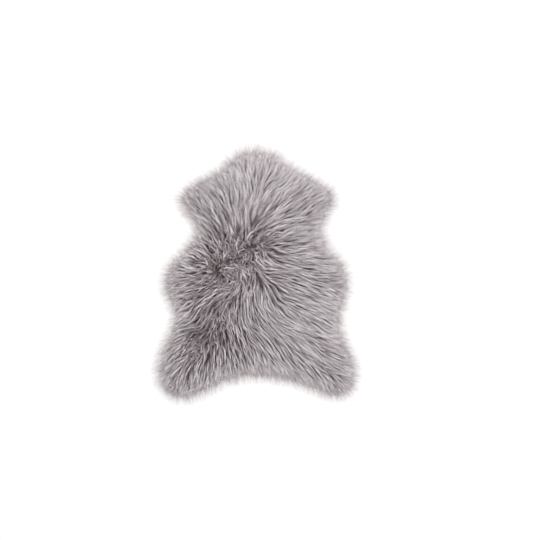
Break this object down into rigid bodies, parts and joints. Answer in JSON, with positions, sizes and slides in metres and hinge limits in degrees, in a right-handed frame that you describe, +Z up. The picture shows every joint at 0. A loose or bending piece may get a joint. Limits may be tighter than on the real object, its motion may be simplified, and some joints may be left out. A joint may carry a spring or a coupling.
{
  "type": "sheepskin rug",
  "caption": "One whole sheepskin laid flat as a rug: long grey wool combed outwards from the back, cut to the pelt's natural outline, with a shaggy rim.",
  "frame": {"origin": "on the floor, under the middle of the rug's overall length and width", "axes": "+Z up from the floor; +Y along the back towards the neck end; +X to the right as seen from above with the neck end away"},
  "size_m": [0.7302, 0.9006, 0.0546],
  "materials": {
    "wool": "long, soft, dyed taupe-grey wool with a dull sheen, darker at the roots and lighter at the tips"
  },
  "bodies": {
    "root": {"sheepskin": "wool"}
  },
  "joints": []
}
